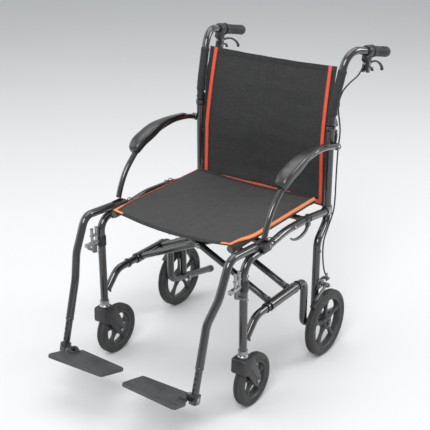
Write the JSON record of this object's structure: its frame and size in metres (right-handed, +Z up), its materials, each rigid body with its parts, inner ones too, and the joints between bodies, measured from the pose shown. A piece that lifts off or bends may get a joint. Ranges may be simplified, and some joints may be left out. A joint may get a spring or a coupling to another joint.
{
  "type": "transport wheelchair",
  "caption": "Folding transport wheelchair: fabric seat and back, swing-away footrests, curved flip-up arms, small wheels and hand brakes on a fold-down back.",
  "frame": {"origin": "on the floor, under the middle of the chair's bounding box, unfolded with the casters trailing", "axes": "+X to the sitter's left, -Y the way the sitter faces, +Z up"},
  "size_m": [0.5766, 0.984, 0.8851],
  "materials": {
    "frame_paint": "gloss black powder coat",
    "chrome": "polished",
    "bare_steel": "zinc-plated",
    "black_plastic": "fine-grained",
    "grey_plastic": "moulded, fine-grained",
    "pad_vinyl": "satin self-skinned foam",
    "grip_rubber": "satin",
    "tyre": "treaded",
    "fabric": "ribbed woven nylon, charcoal",
    "ribbon": "woven edge ribbon, orange-red",
    "cable_sheath": "smooth"
  },
  "bodies": {
    "left_frame": {"left_side_tube": "frame_paint", "left_rear_post": "frame_paint", "left_lower_rail": "frame_paint", "left_caster_stem": "bare_steel", "left_rear_axle": "bare_steel", "left_arm_socket": "black_plastic", "left_brake_bracket": "bare_steel", "left_brake_cable": "cable_sheath"},
    "right_frame": {"right_side_tube": "frame_paint", "right_rear_post": "frame_paint", "right_lower_rail": "frame_paint", "right_caster_stem": "bare_steel", "right_rear_axle": "bare_steel", "right_arm_socket": "black_plastic", "right_brake_bracket": "bare_steel", "right_brake_cable": "cable_sheath"},
    "brace_a": {"cross_brace_a": "frame_paint", "seat_sling": "fabric"},
    "brace_b": {"cross_brace_b": "frame_paint"},
    "left_caster": {"left_caster_fork": "black_plastic", "left_caster_axle": "bare_steel"},
    "left_caster_wheel": {"left_caster_tyre": "tyre", "left_caster_wheel": "grey_plastic"},
    "left_rear_wheel": {"left_rear_tyre": "tyre", "left_rear_wheel": "grey_plastic"},
    "left_arm": {"left_arm_tube": "frame_paint", "left_arm_pad": "pad_vinyl"},
    "left_hanger": {"left_hanger_tube": "frame_paint", "left_hanger_bracket": "chrome"},
    "left_swing_latch": {"left_swing_latch": "bare_steel"},
    "left_foot": {"left_foot_tube": "frame_paint"},
    "left_footplate": {"left_footplate": "grey_plastic"},
    "left_back": {"left_back_tube": "frame_paint", "left_grip": "grip_rubber", "left_brake_housing": "black_plastic", "back_sling": "fabric"},
    "left_brake_lever": {"left_brake_lever": "black_plastic"},
    "left_parking_catch": {"left_parking_catch": "black_plastic"},
    "left_brake_arm": {"left_brake_arm": "bare_steel"},
    "left_back_latch": {"left_back_latch": "grey_plastic"},
    "right_caster": {"right_caster_fork": "black_plastic", "right_caster_axle": "bare_steel"},
    "right_caster_wheel": {"right_caster_tyre": "tyre", "right_caster_wheel": "grey_plastic"},
    "right_rear_wheel": {"right_rear_tyre": "tyre", "right_rear_wheel": "grey_plastic"},
    "right_arm": {"right_arm_tube": "frame_paint", "right_arm_pad": "pad_vinyl"},
    "right_hanger": {"right_hanger_tube": "frame_paint", "right_hanger_bracket": "chrome"},
    "right_swing_latch": {"right_swing_latch": "bare_steel"},
    "right_foot": {"right_foot_tube": "frame_paint"},
    "right_footplate": {"right_footplate": "grey_plastic"},
    "right_back": {"right_back_tube": "frame_paint", "right_grip": "grip_rubber", "right_brake_housing": "black_plastic"},
    "right_brake_lever": {"right_brake_lever": "black_plastic"},
    "right_parking_catch": {"right_parking_catch": "black_plastic"},
    "right_brake_arm": {"right_brake_arm": "bare_steel"},
    "right_back_latch": {"right_back_latch": "grey_plastic"}
  },
  "joints": [
    {"name": "fold", "type": "hinge", "parent": "left_frame", "child": "brace_a", "pos_m": [0.24, -0.02859, 0.262], "axis": [0, 1, 0], "range_deg": [0, 45], "deforming": ["seat_sling", "back_sling"]},
    {"name": "scissor", "type": "hinge", "parent": "brace_a", "child": "brace_b", "pos_m": [0, -0.02859, 0.37285], "axis": [0, 1, 0], "range_deg": [-90, 0]},
    {"name": "right_frame_hinge", "type": "hinge", "parent": "brace_b", "child": "right_frame", "pos_m": [-0.24, -0.02859, 0.262], "axis": [0, 1, 0], "range_deg": [0, 45]},
    {"name": "left_caster_swivel", "type": "hinge", "parent": "left_frame", "child": "left_caster", "pos_m": [0.24, -0.22659, 0.172], "axis": [0, 0, 1], "continuous": true},
    {"name": "left_caster_roll", "type": "hinge", "parent": "left_caster", "child": "left_caster_wheel", "pos_m": [0.24, -0.18159, 0.075], "axis": [1, 0, 0], "continuous": true},
    {"name": "left_rear_wheel_roll", "type": "hinge", "parent": "left_frame", "child": "left_rear_wheel", "pos_m": [0.2685, 0.16541, 0.1], "axis": [1, 0, 0], "continuous": true},
    {"name": "left_arm_flip", "type": "hinge", "parent": "left_frame", "child": "left_arm", "pos_m": [0.245, 0.22541, 0.622], "axis": [-1, 0, 0], "range_deg": [0, 68]},
    {"name": "left_hanger_swing", "type": "hinge", "parent": "left_frame", "child": "left_hanger", "pos_m": [0.24, -0.18159, 0.462], "axis": [0, 0, 1], "range_deg": [0, 90]},
    {"name": "left_swing_latch_press", "type": "hinge", "parent": "left_hanger", "child": "left_swing_latch", "pos_m": [0.24, -0.25659, 0.362], "axis": [0, 0, 1], "range_deg": [0, 25], "stiffness_Nm_per_rad": 0.2},
    {"name": "left_foot_length", "type": "slide", "parent": "left_hanger", "child": "left_foot", "axis": [0, -0.2756, -0.9613], "range_m": [0, 0.05]},
    {"name": "left_footplate_flip", "type": "hinge", "parent": "left_foot", "child": "left_footplate", "pos_m": [0.1995, -0.41383, 0.12761], "axis": [0, 0.9613, -0.2756], "range_deg": [0, 90]},
    {"name": "left_back_fold", "type": "hinge", "parent": "left_frame", "child": "left_back", "pos_m": [0.225, 0.23991, 0.68], "axis": [-1, 0, 0], "range_deg": [0, 90], "deforming": ["left_brake_cable"]},
    {"name": "left_brake_lever_squeeze", "type": "hinge", "parent": "left_back", "child": "left_brake_lever", "pos_m": [0.252, 0.36986, 0.83044], "axis": [1, 0, 0], "range_deg": [0, 8], "stiffness_Nm_per_rad": 0.6},
    {"name": "left_parking_catch_press", "type": "hinge", "parent": "left_back", "child": "left_parking_catch", "pos_m": [0.252, 0.36653, 0.81479], "axis": [-1, 0, 0], "range_deg": [0, 8], "stiffness_Nm_per_rad": 0.3},
    {"name": "left_brake_arm_pull", "type": "hinge", "parent": "left_frame", "child": "left_brake_arm", "pos_m": [0.2685, 0.16141, 0.2235], "axis": [1, 0, 0], "range_deg": [0, 2.8], "stiffness_Nm_per_rad": 1},
    {"name": "left_back_latch_pull", "type": "hinge", "parent": "left_frame", "child": "left_back_latch", "pos_m": [0.225, 0.24691, 0.653], "axis": [1, 0, 0], "range_deg": [0, 25], "stiffness_Nm_per_rad": 0.3},
    {"name": "right_caster_swivel", "type": "hinge", "parent": "right_frame", "child": "right_caster", "pos_m": [-0.24, -0.22659, 0.172], "axis": [0, 0, 1], "continuous": true},
    {"name": "right_caster_roll", "type": "hinge", "parent": "right_caster", "child": "right_caster_wheel", "pos_m": [-0.24, -0.18159, 0.075], "axis": [1, 0, 0], "continuous": true},
    {"name": "right_rear_wheel_roll", "type": "hinge", "parent": "right_frame", "child": "right_rear_wheel", "pos_m": [-0.2685, 0.16541, 0.1], "axis": [1, 0, 0], "continuous": true},
    {"name": "right_arm_flip", "type": "hinge", "parent": "right_frame", "child": "right_arm", "pos_m": [-0.245, 0.22541, 0.622], "axis": [-1, 0, 0], "range_deg": [0, 68]},
    {"name": "right_hanger_swing", "type": "hinge", "parent": "right_frame", "child": "right_hanger", "pos_m": [-0.24, -0.18159, 0.462], "axis": [0, 0, -1], "range_deg": [0, 90]},
    {"name": "right_swing_latch_press", "type": "hinge", "parent": "right_hanger", "child": "right_swing_latch", "pos_m": [-0.24, -0.25659, 0.362], "axis": [0, 0, -1], "range_deg": [0, 25], "stiffness_Nm_per_rad": 0.2},
    {"name": "right_foot_length", "type": "slide", "parent": "right_hanger", "child": "right_foot", "axis": [0, -0.2756, -0.9613], "range_m": [0, 0.05]},
    {"name": "right_footplate_flip", "type": "hinge", "parent": "right_foot", "child": "right_footplate", "pos_m": [-0.1995, -0.41383, 0.12761], "axis": [0, -0.9613, 0.2756], "range_deg": [0, 90]},
    {"name": "right_back_fold", "type": "hinge", "parent": "right_frame", "child": "right_back", "pos_m": [-0.225, 0.23991, 0.68], "axis": [-1, 0, 0], "range_deg": [0, 90], "deforming": ["right_brake_cable"]},
    {"name": "right_brake_lever_squeeze", "type": "hinge", "parent": "right_back", "child": "right_brake_lever", "pos_m": [-0.252, 0.36986, 0.83044], "axis": [1, 0, 0], "range_deg": [0, 8], "stiffness_Nm_per_rad": 0.6},
    {"name": "right_parking_catch_press", "type": "hinge", "parent": "right_back", "child": "right_parking_catch", "pos_m": [-0.252, 0.36653, 0.81479], "axis": [-1, 0, 0], "range_deg": [0, 8], "stiffness_Nm_per_rad": 0.3},
    {"name": "right_brake_arm_pull", "type": "hinge", "parent": "right_frame", "child": "right_brake_arm", "pos_m": [-0.2685, 0.16141, 0.2235], "axis": [1, 0, 0], "range_deg": [0, 2.8], "stiffness_Nm_per_rad": 1},
    {"name": "right_back_latch_pull", "type": "hinge", "parent": "right_frame", "child": "right_back_latch", "pos_m": [-0.225, 0.24691, 0.653], "axis": [1, 0, 0], "range_deg": [0, 25], "stiffness_Nm_per_rad": 0.3}
  ],
  "couplings": [
    {"joint": "scissor", "follows": "fold", "ratio": -2},
    {"joint": "right_frame_hinge", "follows": "fold", "ratio": 1},
    {"joint": "left_footplate_flip", "follows": "fold", "ratio": 2},
    {"joint": "right_footplate_flip", "follows": "fold", "ratio": 2},
    {"joint": "right_back_fold", "follows": "left_back_fold", "ratio": 1},
    {"joint": "left_brake_arm_pull", "follows": "left_brake_lever_squeeze", "ratio": 0.35},
    {"joint": "right_brake_arm_pull", "follows": "right_brake_lever_squeeze", "ratio": 0.35}
  ]
}
